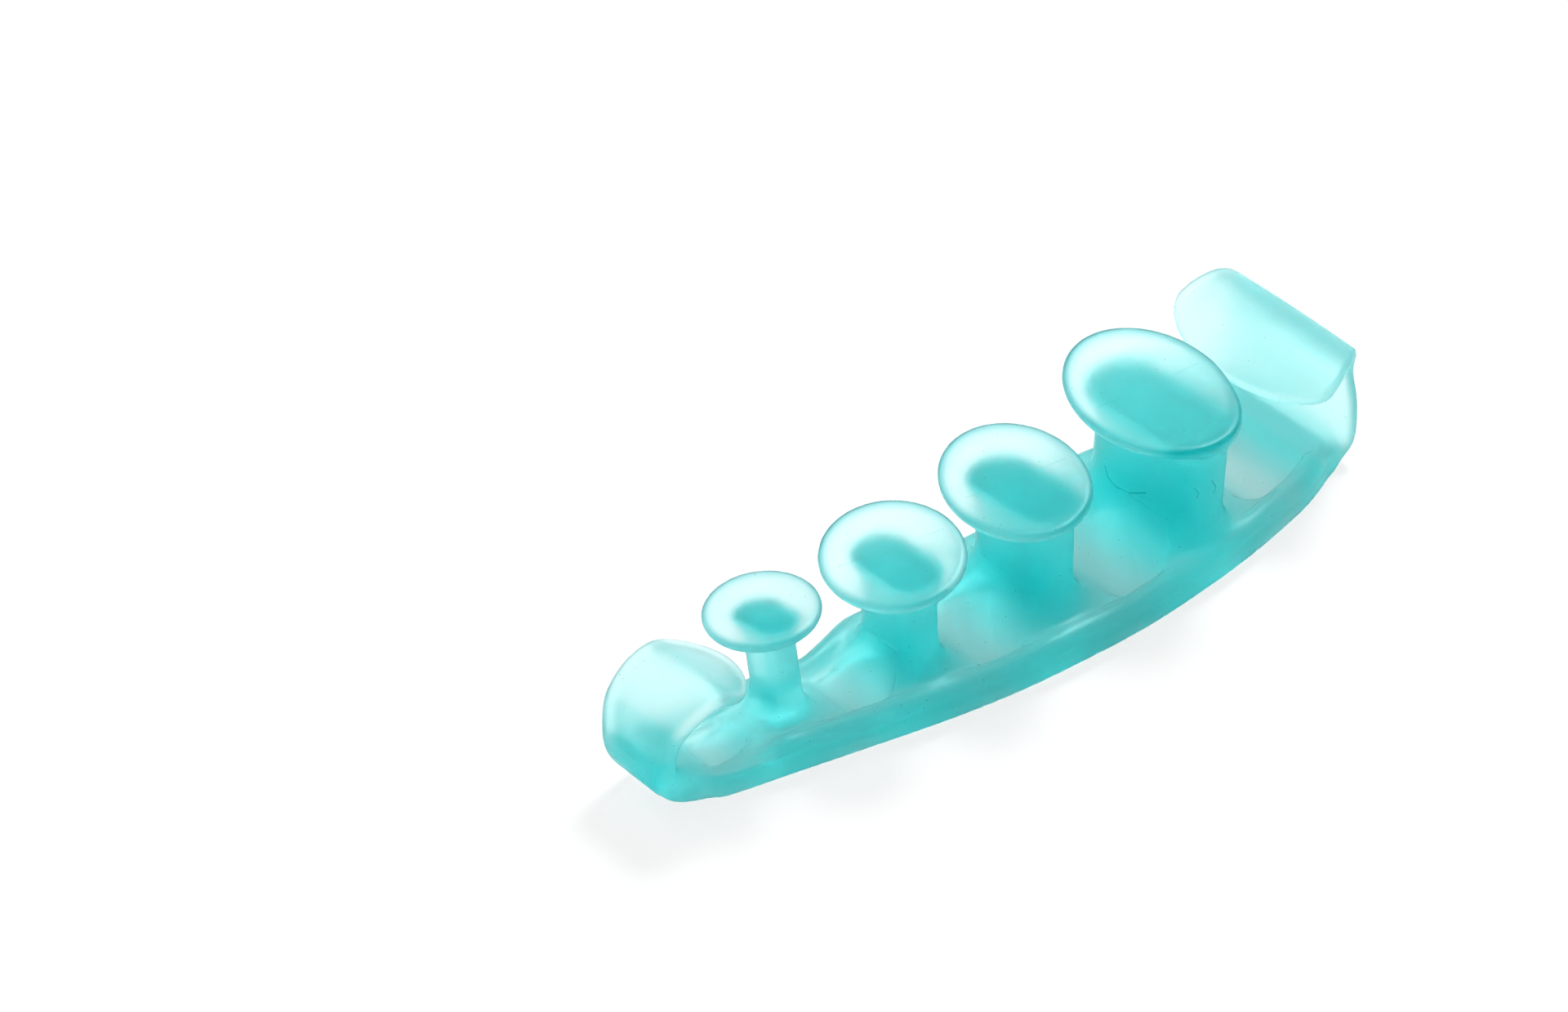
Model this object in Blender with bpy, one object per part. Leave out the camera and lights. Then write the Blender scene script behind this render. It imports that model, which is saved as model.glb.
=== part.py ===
"""Toe separator: one soft gel moulding that lies flat on its underside.

A low curved bar carries four posts with wide oval heads, which part the toes.  Round seats
lie between the posts, and a curled tongue at each end holds the outer toes in.

X runs along the bar towards the big toe, Y across it towards the tips of the toes, Z up.
All lengths are in millimetres and are turned into metres when the mesh is made.
"""

import bmesh
import bpy
import numpy as np

MM = 0.001
NODE = "toe_separator"

# Middle of the base in plan, which becomes the origin
ORIGIN = (-1.72, -4.375)

# Bar
BAR_TOP = 3.9
BAR_FOOT_RADIUS = 0.55
LIP_RADIUS = 1.55
LIP_TOP = 5.3
LIP_BLEND = 0.9
LIP_WIDTH = 2.3
LIP_ENDS = (-41.0, 46.0)
LIP_TAPER = [0.3, 0.45]

# Plan of the bar, anticlockwise from the corner of the small end, seen from above
SMOOTH_EDGE = [
    (-50.5, -7.2), (-40.0, -10.2), (-30.0, -13.0), (-20.0, -15.7), (-10.0, -17.8), (0.0, -19.1),
    (10.0, -19.9), (20.0, -19.8), (30.0, -19.1), (40.0, -17.6), (45.0, -16.3), (49.0, -14.6),
]
BIG_END = [(51.3, -11.9), (52.0, -8.0), (52.0, -2.5), (51.6, 3.0), (50.4, 6.8)]
WAVY_EDGE = [
    (48.1, 9.8), (43.9, 11.4), (40.0, 10.2), (36.0, 8.1), (32.0, 6.8), (27.0, 6.5),
    (23.0, 7.0), (19.5, 6.1), (16.0, 4.3), (12.0, 3.2), (8.0, 3.7), (3.0, 4.8),
    (-2.0, 4.7), (-7.0, 3.3), (-12.0, 2.5), (-16.0, 3.2), (-20.5, 3.7), (-25.0, 2.8),
    (-30.0, 2.0), (-35.0, 3.1), (-40.0, 4.0), (-44.5, 3.8), (-49.5, 4.2),
]
SMALL_END = [(-53.8, 4.0), (-55.2, 2.4), (-55.4, 0.0), (-54.9, -2.6), (-52.9, -5.1)]

# Posts, small toe first: foot and top of the stem, its half width along X and half length
# along Y, then middle, size, tilt and turn of the head
STEM_FOOT = [(-36.4, -2.6), (-19.4, -6.2), (1.0, -6.9), (24.0, -7.0)]
STEM_TOP = [(-38.1, -1.3), (-20.0, -5.6), (0.9, -6.7), (24.3, -7.8)]
STEM_HALF = [(2.4, 3.7), (3.1, 5.6), (3.5, 7.4), (4.4, 10.0)]
NECK_HEIGHT = 10.5
HEAD_CENTRE = [(-38.5, -1.1, 19.9), (-20.5, -5.3, 21.0), (0.0, -5.7, 21.6), (23.8, -5.5, 22.8)]
HEAD_SIZE = [(7.4, 7.6), (9.2, 9.8), (9.1, 11.9), (10.0, 13.3)]
HEAD_TILT = [(-3.4, -6.7), (-5.5, -0.5), (-3.9, -4.4), (-1.9, -0.6)]
HEAD_TURN = [-4.0, -19.0, -16.5, -10.4]
RIM_RADIUS = 0.8
HEAD_FLARE = [2.6, 2.8, 3.2, 4.2]
HEAD_DISH = 0.35
FOOT_FLARE = [3.8, 6.0, 6.5, 6.5]

# Seats between the posts and inside the tongues
SEAT_X = [-47.4, -27.6, -9.0, 13.0, 40.0]
SEAT_RADIUS = [6.4, 5.9, 6.9, 7.4, 9.0]
SEAT_FLOOR = [2.1, 2.3, 2.3, 2.2, 1.2]
SEAT_BORDER = [2.9, 2.9, 2.9, 2.8, 2.3]
SEAT_END_BLEND = 1.2
SEAT_EDGE_BLEND = 0.55

# Tongues: middle line in the XZ plane, thickness, side lines, from the bar to the tip
BIG_LINE = [(50.3, 0.6), (53.1, 3.5), (54.9, 7.9), (55.5, 11.8), (54.8, 15.8), (51.7, 18.5),
            (47.2, 19.4), (42.6, 18.5), (38.3, 16.6)]
BIG_THICK = [3.2, 2.4, 1.9, 1.7, 1.7, 1.8, 1.8, 1.7, 1.5]
BIG_FRONT = [-13.8, -14.4, -13.0, -11.4, -12.4, -14.9, -17.0, -18.0, -17.4]
BIG_BACK = [8.0, 8.8, 9.4, 9.8, 10.0, 10.1, 10.1, 10.0, 9.8]
BIG_TIP = 7.4
BIG_CROWN = 1.4
SMALL_LINE = [(-53.0, 1.6), (-55.6, 3.8), (-57.7, 6.5), (-57.9, 9.8), (-56.9, 13.2),
              (-54.0, 15.7), (-50.3, 16.5), (-46.8, 15.2), (-42.8, 13.2)]
SMALL_THICK = [4.8, 4.6, 4.0, 3.2, 2.6, 2.2, 1.9, 1.7, 1.5]
SMALL_FRONT = [-4.8, -5.4, -6.0, -6.3, -6.8, -7.3, -7.5, -7.3, -6.8]
SMALL_BACK = [4.2, 4.9, 5.3, 5.8, 6.3, 6.7, 6.9, 6.9, 6.7]
SMALL_TIP = 6.0
SMALL_CROWN = 1.0
TONGUE_BLEND = 2.6

# Mesh
DETAIL = 1
ACROSS = 10 * DETAIL
ALONG_POST = 11 * DETAIL
EDGE_CELLS = 7 * DETAIL
POST_LINES = [-45.0, -27.6, -9.2, 12.2, 35.0]
FLAT_ENDS = [-49.0, 45.0]
SETTLE_ROUNDS = 14


def spline(points, count):
    """Points at even steps of the index on a smooth curve through the given points."""
    pts = np.array(points, float)
    ends = np.vstack([2 * pts[0] - pts[1], pts, 2 * pts[-1] - pts[-2]])
    at = np.linspace(0, len(pts) - 1, count)
    i = np.minimum(at.astype(int), len(pts) - 2)
    t = (at - i)[:, None]
    a, b, c, d = ends[i], ends[i + 1], ends[i + 2], ends[i + 3]
    return 0.5 * (
        2 * b + (c - a) * t + (2 * a - 5 * b + 4 * c - d) * t**2 + (3 * b - a - 3 * c + d) * t**3
    )


def closed_spline(points, steps):
    pts = np.array(points, float)
    a, b, c, d = (np.roll(pts, s, 0)[:, None] for s in (1, 0, -1, -2))
    t = (np.arange(steps) / steps)[None, :, None]
    curve = 0.5 * (
        2 * b + (c - a) * t + (2 * a - 5 * b + 4 * c - d) * t**2 + (3 * b - a - 3 * c + d) * t**3
    )
    return curve.reshape(-1, 2)


def smooth_min(a, b, k):
    h = np.clip(0.5 + 0.5 * (b - a) / k, 0, 1)
    return b * (1 - h) + a * h - k * h * (1 - h)


def smooth_max(a, b, k):
    return -smooth_min(-a, -b, k)


def rounded(a, b, r):
    """Distance from the corner where two faces meet in an edge of radius r."""
    p, q = a + r, b + r
    return np.minimum(np.maximum(p, q), 0) + np.hypot(np.maximum(p, 0), np.maximum(q, 0)) - r


def oval(x, y, a, b):
    """Distance to an ellipse with half axes a and b, nearly true close to it."""
    k0 = np.hypot(x / a, y / b)
    k1 = np.hypot(x / a**2, y / b**2)
    return k0 * (k0 - 1) / np.maximum(k1, 1e-6)


# The outline of the bar, and its distance sampled on a plan grid
OUTLINE = closed_spline(SMOOTH_EDGE + BIG_END + WAVY_EDGE + SMALL_END, 5)
FIELD_STEP = 0.5
FIELD_X = np.arange(-70, 70.1, FIELD_STEP)
FIELD_Y = np.arange(-34, 30.1, FIELD_STEP)


def outline_distance(x, y):
    a = OUTLINE
    b = np.roll(a, -1, 0)
    d = b - a
    px, py = x[:, None] - a[:, 0], y[:, None] - a[:, 1]
    t = np.clip((px * d[:, 0] + py * d[:, 1]) / (d**2).sum(1), 0, 1)
    dist = np.hypot(px - t * d[:, 0], py - t * d[:, 1]).min(1)
    below = a[:, 1] <= y[:, None]
    crosses = below != (b[:, 1] <= y[:, None])
    side = d[:, 0] * py - d[:, 1] * px
    inside = ((crosses & (np.where(below, side, -side) > 0)).sum(1) % 2).astype(bool)
    return np.where(inside, -dist, dist)


GRID = np.meshgrid(FIELD_X, FIELD_Y, indexing="ij")
FIELD = outline_distance(GRID[0].ravel(), GRID[1].ravel()).reshape(GRID[0].shape)


def plan_distance(x, y):
    """Distance to the outline of the bar, negative inside."""
    u = np.clip((x - FIELD_X[0]) / FIELD_STEP, 0, len(FIELD_X) - 1.001)
    v = np.clip((y - FIELD_Y[0]) / FIELD_STEP, 0, len(FIELD_Y) - 1.001)
    i, j = u.astype(int), v.astype(int)
    u, v = u - i, v - j
    low = FIELD[i, j] * (1 - u) + FIELD[i + 1, j] * u
    high = FIELD[i, j + 1] * (1 - u) + FIELD[i + 1, j + 1] * u
    return low * (1 - v) + high * v


def edge_y(x, points):
    """Y of one long edge of the bar at x."""
    curve = spline(sorted(points), 200)
    return np.interp(x, curve[:, 0], curve[:, 1])


def bar(p, top):
    """The bar under a given upper surface, and the round lip that runs along its outline."""
    d = plan_distance(p[:, 0], p[:, 1])
    slab = rounded(d, np.maximum(top, -p[:, 2]), BAR_FOOT_RADIUS)
    lip = np.hypot(d + LIP_RADIUS, p[:, 2] - (LIP_TOP - LIP_RADIUS)) - LIP_RADIUS
    lip += LIP_TAPER[0] * np.maximum(LIP_ENDS[0] - p[:, 0], 0)
    lip += LIP_TAPER[1] * np.maximum(p[:, 0] - LIP_ENDS[1], 0)
    return slab, lip


def head_frame(i):
    """Axes of a head: across, along and up, each tilted with it."""
    ax, ay = np.radians(HEAD_TILT[i])
    up = np.array([np.sin(ax), -np.sin(ay), np.cos(ax) * np.cos(ay)])
    up /= np.linalg.norm(up)
    turn = np.radians(HEAD_TURN[i])
    across = np.array([np.cos(turn), np.sin(turn), 0.0])
    across -= up * (across @ up)
    across /= np.linalg.norm(across)
    return across, np.cross(up, across), up


def stem(p, i):
    foot, top = np.array(STEM_FOOT[i]), np.array(STEM_TOP[i])
    lean = (top - foot) / HEAD_CENTRE[i][2]
    a, b = STEM_HALF[i]
    dx = p[:, 0] - foot[0] - lean[0] * p[:, 2]
    dy = p[:, 1] - foot[1] - lean[1] * p[:, 2]
    return np.hypot(dx, np.maximum(np.abs(dy) - (b - a), 0)) - a


def head(p, i):
    across, along, up = head_frame(i)
    q = p - np.array(HEAD_CENTRE[i])
    u, v, w = q @ across, q @ along, q @ up
    a, b = HEAD_SIZE[i]
    plate = rounded(oval(u, v, a, b), np.abs(w) - RIM_RADIUS, RIM_RADIUS)
    top = w - RIM_RADIUS + HEAD_DISH * np.maximum(1 - (u / a) ** 2 - (v / b) ** 2, 0)
    return plate, top


def seat(p, i):
    """A round-bottomed channel across the bar, closed near both lips by a round end."""
    x, r, floor = SEAT_X[i], SEAT_RADIUS[i], SEAT_FLOOR[i]
    depth = np.minimum(p[:, 2] - floor - r, 0)
    channel = np.hypot(p[:, 0] - x, depth) - r
    front = edge_y(x, SMOOTH_EDGE) + SEAT_BORDER[i]
    back = edge_y(x, WAVY_EDGE) - SEAT_BORDER[i]
    half = (back - front) / 2
    long = min(r, half)
    dy = np.maximum(np.abs(p[:, 1] - (front + back) / 2) - (half - long), 0)
    ends = oval(p[:, 0] - x, dy, r, long)
    return smooth_max(channel, ends, SEAT_END_BLEND)


class Tongue:
    """A strip of gel that follows a line in the XZ plane and ends in half an ellipse."""

    def __init__(self, line, thick, front, back, tip, crown):
        table = np.column_stack([line, thick, front, back])
        curve = spline(table, 72)
        self.line = curve[:, :2]
        self.length = np.append(0, np.cumsum(np.hypot(*np.diff(self.line, axis=0).T)))
        self.thick, self.front, self.back = curve[:, 2], curve[:, 3], curve[:, 4]
        self.tip, self.crown, self.side = tip, crown, np.sign(line[0][0])

    def at(self, s):
        """Middle point, thickness and side lines at a length along the tongue."""
        tracks = (*self.line.T, self.thick, self.front, self.back)
        return [np.interp(s, self.length, track) for track in tracks]

    def distance(self, p):
        a, b = self.line[:-1], self.line[1:]
        d = b - a
        px, pz = p[:, 0, None] - a[:, 0], p[:, 2, None] - a[:, 1]
        t = np.clip((px * d[:, 0] + pz * d[:, 1]) / (d**2).sum(1), 0, 1)
        near = (px - t * d[:, 0]) ** 2 + (pz - t * d[:, 1]) ** 2
        k = near.argmin(1)
        rows = np.arange(len(p))
        unit = d / np.hypot(*d.T)[:, None]
        px, pz = p[:, 0] - a[k, 0], p[:, 2] - a[k, 1]
        along = px * unit[k, 0] + pz * unit[k, 1]
        off = (px * unit[k, 1] - pz * unit[k, 0]) * self.side
        gap = np.sqrt(near[rows, k])
        inside = t[rows, k] * np.hypot(*d[k].T)
        past = np.where(k == len(a) - 1, np.maximum(along - inside, 0), 0)
        off = np.where(past > 0, off, np.sign(off) * gap)
        s = self.length[k] + inside + past
        _, _, thick, front, back = self.at(s)
        half, y = (back - front) / 2, p[:, 1] - (front + back) / 2
        u = np.maximum(s - self.length[-1] + self.tip, 0)
        bend = self.crown * np.clip(s / self.length[-1] * 2 - 0.9, 0, 1)
        off = off + bend * np.minimum((y / half) ** 2, 1.5)
        return rounded(oval(u, y, self.tip, half), np.abs(off) - thick / 2, 0.46 * thick)


BIG = Tongue(BIG_LINE, BIG_THICK, BIG_FRONT, BIG_BACK, BIG_TIP, BIG_CROWN)
SMALL = Tongue(SMALL_LINE, SMALL_THICK, SMALL_FRONT, SMALL_BACK, SMALL_TIP, SMALL_CROWN)


def separator(p):
    """Signed distance to the surface of the whole moulding, negative in the gel."""
    necks = [smooth_max(stem(p, i), p[:, 2] - HEAD_CENTRE[i][2], 0.5) for i in range(4)]
    top = p[:, 2] - BAR_TOP
    for neck, flare in zip(necks, FOOT_FLARE):
        top = smooth_min(top, neck, flare)
    low, lip = bar(p, top)
    for i in range(5):
        low = smooth_max(low, -seat(p, i), SEAT_EDGE_BLEND)
    low = smooth_min(low, lip, LIP_BLEND)
    for tongue in (BIG, SMALL):
        low = smooth_min(low, tongue.distance(p), TONGUE_BLEND)
    low = smooth_max(low, -p[:, 2], 0.3)
    for i, neck in enumerate(necks):
        plate, top = head(p, i)
        upper = smooth_max(neck, NECK_HEIGHT - 2 - p[:, 2], 0.5)
        whole = smooth_max(smooth_min(upper, plate, HEAD_FLARE[i]), top, 0.5)
        low = np.minimum(low, whole)
    return low


def slope(p, value):
    h = 0.02
    return np.column_stack([(separator(p + h * axis) - value) / h for axis in np.eye(3)])


def settle(p, rounds):
    """Moves points along the slope of the distance until they lie on the surface."""
    for _ in range(rounds):
        value = separator(p)
        g = slope(p, value)
        step = value / np.maximum((g**2).sum(1), 0.05)
        reach = np.linalg.norm(g, axis=1) * np.abs(step)
        step *= np.minimum(1, 0.9 / np.maximum(reach, 1e-9))
        p = p - g * step[:, None]
    return p


def even(a, b, count):
    return np.linspace(a, b, count + 1)


def stations():
    """Loops of the tube: outer and inner point in XZ, front and back line, and how far each
    loop has turned from the flat bar into a tongue."""
    rows = []
    for tongue, corner, inner_corner, flat in (
        (SMALL, (-55.6, 0.0), (-53.0, 2.2), FLAT_ENDS[0]),
        (BIG, (52.0, 0.0), (49.5, 2.2), FLAT_ENDS[1]),
    ):
        half = []
        root = np.interp(6.5, tongue.line[:30, 1], tongue.length[:30])
        last = tongue.length[-1] - 0.06 * tongue.tip
        for s in even(root, last, round((last - root) / 2.1) * DETAIL):
            x, z, thick, front, back = tongue.at(s)
            x2, z2, *_ = tongue.at(min(s + 0.2, tongue.length[-1]))
            x1, z1, *_ = tongue.at(s - 0.2)
            n = np.array([z2 - z1, x1 - x2]) / np.hypot(z2 - z1, x2 - x1)
            n *= np.sign(flat) * thick / 2
            half.append([x + n[0], z + n[1], x - n[0], z - n[1], front, back, 1.0, s])
        end = half[0]
        for t in even(0, 1, 5 * DETAIL)[1:-1][::-1]:
            w = [(1 - t) ** 2, 2 * t * (1 - t), t**2]
            outer = w[0] * np.array([flat, 0.0]) + w[1] * np.array(corner) + w[2] * np.array(end[:2])
            inner = (
                w[0] * np.array([flat, BAR_TOP])
                + w[1] * np.array(inner_corner)
                + w[2] * np.array(end[2:4])
            )
            front = np.interp(t, [0, 1], [edge_y(flat, SMOOTH_EDGE), end[4]])
            back = np.interp(t, [0, 1], [edge_y(flat, WAVY_EDGE), end[5]])
            half.insert(0, [*outer, *inner, front, back, t, -1.0])
        rows.append(half)
    xs = np.concatenate([
        even(FLAT_ENDS[0], POST_LINES[0], 2 * DETAIL)[:-1],
        *[even(a, b, ALONG_POST)[:-1] for a, b in zip(POST_LINES, POST_LINES[1:])],
        even(POST_LINES[-1], FLAT_ENDS[1], 4 * DETAIL),
    ])
    flat = [
        [x, 0.0, x, BAR_TOP, edge_y(x, SMOOTH_EDGE), edge_y(x, WAVY_EDGE), 0.0, -1.0] for x in xs
    ]
    return np.array(rows[0][::-1] + flat + rows[1]), len(rows[0]), xs


def edge_profile(turn, thick):
    """Inset from the side line and share of the height, from the outer to the inner side."""
    steps = np.linspace(0, 7, EDGE_CELLS + 1)
    bar_e = np.interp(steps, range(8), [0.6, 0.1, 0.0, 0.0, 0.35, 0.95, 1.65, LIP_WIDTH])
    bar_h = np.interp(steps, range(8), [0.0, 0.07, 0.4, 0.85, 1.12, 1.25, 1.2, 1.03])
    angle = np.radians(np.interp(steps, range(8), [-90, -75, -45, -15, 15, 45, 75, 90]))
    tongue_e = 0.5 * thick * (1 - np.cos(angle))
    tongue_e[0] = tongue_e[-1] = 0.8 * thick
    tongue_h = 0.5 + 0.5 * np.sin(angle)
    return bar_e + (tongue_e - bar_e) * turn, bar_h + (tongue_h - bar_h) * turn


def tube():
    """Points of every loop: outer side, back edge, inner side, front edge."""
    rows, first, xs = stations()
    loops = []
    for xo, zo, xi, zi, front, back, turn, s in rows:
        thick = np.hypot(xi - xo, zi - zo)
        e, h = edge_profile(turn, thick)
        across = np.linspace(0, 1, ACROSS + 1)
        low = front + e[0] + (back - front - 2 * e[0]) * across
        high = front + e[-1] + (back - front - 2 * e[-1]) * across
        y = np.concatenate([low, back - e[1:-1], high[::-1], (front + e[1:-1])[::-1]])
        t = np.concatenate([low * 0, h[1:-1], high * 0 + 1, h[1:-1][::-1]])
        x, z = xo + (xi - xo) * t, zo + (zi - zo) * t
        tongue = SMALL if xo < 0 else BIG
        start = tongue.length[-1] - tongue.tip
        if s > start:
            a = (s - start) / tongue.tip
            half, mid = (back - front) / 2, (front + back) / 2
            v = (y - mid) / half
            y = mid + half * v * np.sqrt(1 - a**2 / 2)
            pulled = start + tongue.tip * a * np.sqrt(1 - v**2 / 2)
            lx, lz, *_ = tongue.at(pulled)
            cx, cz = (xo + xi) / 2, (zo + zi) / 2
            x, z = x + lx - cx, z + lz - cz
        loops.append(np.column_stack([x, y, z]))
    return np.array(loops), first, xs


def post_rings(border, i):
    """Rings from the border of the bar around one post up to the middle of its head."""
    across, along, up = head_frame(i)
    centre = np.array(HEAD_CENTRE[i])
    foot, top = np.array(STEM_FOOT[i]), np.array(STEM_TOP[i])
    neck = np.array([*(foot + (top - foot) * NECK_HEIGHT / centre[2]), NECK_HEIGHT])
    a, b = STEM_HALF[i]
    mid = border.mean(0)
    span = np.ptp(border[:, :2], axis=0) / 2
    angle = np.arctan2((border[:, 1] - mid[1]) / span[1], (border[:, 0] - mid[0]) / span[0])
    circle = np.column_stack([np.cos(angle), np.sin(angle)])
    neck_ring = neck + np.column_stack([a * circle[:, 0], b * circle[:, 1], 0 * angle])
    rings = []
    turns = np.radians(np.linspace(0, 90, 8 * DETAIL + 1)[1:])
    for t in turns:
        share, rise = np.sin(t), 1 - np.cos(t)
        ring = border + (neck_ring - border) * np.array([share, share, rise])
        rings.append(ring)
    ha, hb = HEAD_SIZE[i]
    drop = centre[2] - NECK_HEIGHT
    steps = [
        (0.04, 0.72), (0.14, 0.5), (0.34, 0.33), (0.62, 0.2), (0.88, 0.115), (0.975, 0.05),
        (1.0, -0.02), (0.965, -0.075), (0.86, -0.085), (0.6, -0.07), (0.25, -0.055),
    ]
    at = np.linspace(0, len(steps), len(steps) * DETAIL + 1)[1:]
    grow = np.interp(at, range(len(steps) + 1), [0.0] + [s[0] for s in steps])
    fall = np.interp(at, range(len(steps) + 1), [1.0] + [s[1] for s in steps])
    top_from = 7 * DETAIL
    for n, (g, f) in enumerate(zip(grow, fall)):
        sa, sb = (a + (ha - a) * g, b + (hb - b) * g) if n < top_from else (ha * g, hb * g)
        head_ring = (
            centre
            + np.outer(sa * circle[:, 0], across)
            + np.outer(sb * circle[:, 1], along)
            - up * drop * f
        )
        rings.append(head_ring)
    return rings, centre + up * 0.5


class Skin:
    """Points and faces of the mesh while it is put together."""

    def __init__(self):
        loops, first, xs = tube()
        self.count, self.around = loops.shape[:2]
        self.points = list(loops.reshape(-1, 3))
        self.faces = []
        self.posts = [first + 2 * DETAIL + n * ALONG_POST for n in range(4)]

    def upper(self, k, m):
        """Point m of the upper side of loop k, counted from the front edge."""
        return k * self.around + 2 * ACROSS + EDGE_CELLS - m

    def add_tube(self):
        left_out = set()
        for start in self.posts:
            for k in range(start, start + ALONG_POST):
                for m in range(1, ACROSS + 1):
                    left_out.add((k, self.upper(0, m)))
        for k in range(self.count - 1):
            a, b = k * self.around, (k + 1) * self.around
            for j in range(self.around):
                if (k, j) not in left_out:
                    nxt = (j + 1) % self.around
                    self.faces.append([a + j, b + j, b + nxt, a + nxt])

    def add_post(self, i):
        start = self.posts[i]
        end = start + ALONG_POST
        ring = [self.upper(k, 0) for k in range(start, end)]
        ring += [self.upper(end, m) for m in range(ACROSS)]
        ring += [self.upper(k, ACROSS) for k in range(end, start, -1)]
        ring += [self.upper(start, m) for m in range(ACROSS, 0, -1)]
        rings, top = post_rings(np.array([self.points[v] for v in ring]), i)
        for row in rings:
            now = list(range(len(self.points), len(self.points) + len(row)))
            self.points.extend(row)
            for n in range(len(row)):
                nxt = (n + 1) % len(row)
                self.faces.append([ring[n], ring[nxt], now[nxt], now[n]])
            ring = now
        self.points.append(top)
        tip = len(self.points) - 1
        for n in range(len(ring)):
            self.faces.append([ring[n], ring[(n + 1) % len(ring)], tip])

    def close_end(self, k):
        """Closes loop k with a patch spanned between its four sides."""
        base = k * self.around
        low = [base + j for j in range(ACROSS + 1)]
        high = [self.upper(k, m) for m in range(ACROSS + 1)]
        left = [low[0]] + [base + self.around - 1 - j for j in range(EDGE_CELLS - 1)] + [high[0]]
        right = [low[-1]] + [base + ACROSS + 1 + j for j in range(EDGE_CELLS - 1)] + [high[-1]]
        patch = np.zeros((ACROSS + 1, EDGE_CELLS + 1), int)
        patch[:, 0], patch[:, -1], patch[0], patch[-1] = low, high, left, right
        rim = {v: self.points[v] for v in low + high + left + right}
        for u in range(1, ACROSS):
            for v in range(1, EDGE_CELLS):
                s, t = u / ACROSS, v / EDGE_CELLS
                ruled = (1 - t) * rim[patch[u, 0]] + t * rim[patch[u, -1]]
                ruled = ruled + (1 - s) * rim[patch[0, v]] + s * rim[patch[-1, v]]
                ruled -= (1 - t) * ((1 - s) * rim[low[0]] + s * rim[low[-1]])
                ruled -= t * ((1 - s) * rim[high[0]] + s * rim[high[-1]])
                patch[u, v] = len(self.points)
                self.points.append(ruled)
        for u in range(ACROSS):
            for v in range(EDGE_CELLS):
                corners = [patch[u, v], patch[u + 1, v], patch[u + 1, v + 1], patch[u, v + 1]]
                self.faces.append(corners)

    def used(self):
        """The points that carry faces, and the faces counted over them."""
        kept = sorted({v for face in self.faces for v in face})
        index = {v: n for n, v in enumerate(kept)}
        points = np.array([self.points[v] for v in kept])
        return points, [[index[v] for v in face] for face in self.faces]


def build_mesh():
    skin = Skin()
    skin.add_tube()
    for i in range(len(skin.posts)):
        skin.add_post(i)
    skin.close_end(0)
    skin.close_end(skin.count - 1)
    points, faces = skin.used()
    points = settle(points, SETTLE_ROUNDS)
    for _ in range(4):
        points = settle(relax(points, faces, 0.4), 4)
    return points - np.array([*ORIGIN, 0.0]), faces


def relax(points, faces, share):
    """Moves each point part of the way to the middle of its neighbours."""
    total, count = np.zeros_like(points), np.zeros(len(points))
    for f in faces:
        for n in range(len(f)):
            a, b = f[n], f[(n + 1) % len(f)]
            total[a] += points[b]
            count[a] += 1
    return points + share * (total / count[:, None] - points)


def gel():
    mat = bpy.data.materials.new("soft turquoise gel")
    mat.use_nodes = True
    shader = mat.node_tree.nodes["Principled BSDF"]
    shader.inputs["Base Color"].default_value = (0.07, 0.55, 0.56, 1)
    shader.inputs["Roughness"].default_value = 0.4
    mat.diffuse_color = (0.07, 0.55, 0.56, 1)
    return mat


def main():
    for obj in list(bpy.data.objects):
        bpy.data.objects.remove(obj)
    points, faces = build_mesh()
    mesh = bpy.data.meshes.new(NODE)
    mesh.from_pydata((points * MM).tolist(), [], faces)
    mesh.materials.append(gel())
    bm = bmesh.new()
    bm.from_mesh(mesh)
    bmesh.ops.recalc_face_normals(bm, faces=bm.faces)
    bm.to_mesh(mesh)
    bm.free()
    mesh.shade_smooth()
    obj = bpy.data.objects.new(NODE, mesh)
    bpy.context.scene.collection.objects.link(obj)


main()
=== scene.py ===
# %% [markdown]
# # A soft gel toe separator
#
# The object is one injection moulding in a soft, see-through gel: a low curved bar, four posts
# with broad heads that stand between the toes, and a curled tongue at each end.  The packed
# solid gives its shape and place.  What makes it look real is the gel: pale where it is thin,
# deep turquoise where light has a long way through it, and satin on its skin.  So most of the
# work here goes into a fine, smooth skin and one good material, and not into many pieces.

from math import cos, radians, sin

import bpy
import numpy as np
from mathutils import Matrix, Vector


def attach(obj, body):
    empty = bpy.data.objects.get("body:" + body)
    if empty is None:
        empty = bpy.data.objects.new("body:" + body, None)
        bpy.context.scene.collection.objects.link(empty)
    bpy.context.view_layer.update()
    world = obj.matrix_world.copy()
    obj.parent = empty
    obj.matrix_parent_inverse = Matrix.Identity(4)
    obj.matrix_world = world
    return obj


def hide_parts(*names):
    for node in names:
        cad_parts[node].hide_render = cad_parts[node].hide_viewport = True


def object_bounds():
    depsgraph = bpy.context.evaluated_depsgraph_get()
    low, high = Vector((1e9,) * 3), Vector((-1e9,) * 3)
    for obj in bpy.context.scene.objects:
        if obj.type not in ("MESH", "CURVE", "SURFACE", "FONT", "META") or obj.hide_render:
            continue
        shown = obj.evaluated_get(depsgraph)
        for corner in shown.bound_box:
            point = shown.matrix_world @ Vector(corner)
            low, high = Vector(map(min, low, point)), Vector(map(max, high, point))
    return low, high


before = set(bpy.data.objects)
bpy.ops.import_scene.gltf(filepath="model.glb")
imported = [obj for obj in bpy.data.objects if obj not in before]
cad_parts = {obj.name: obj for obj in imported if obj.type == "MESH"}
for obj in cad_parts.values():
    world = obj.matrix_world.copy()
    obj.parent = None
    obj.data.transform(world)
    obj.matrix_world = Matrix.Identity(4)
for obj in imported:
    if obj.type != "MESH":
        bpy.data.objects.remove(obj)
solid_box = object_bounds()
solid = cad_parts["toe_separator"]
print("solid:", len(solid.data.polygons), "faces, box", solid_box)

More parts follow.
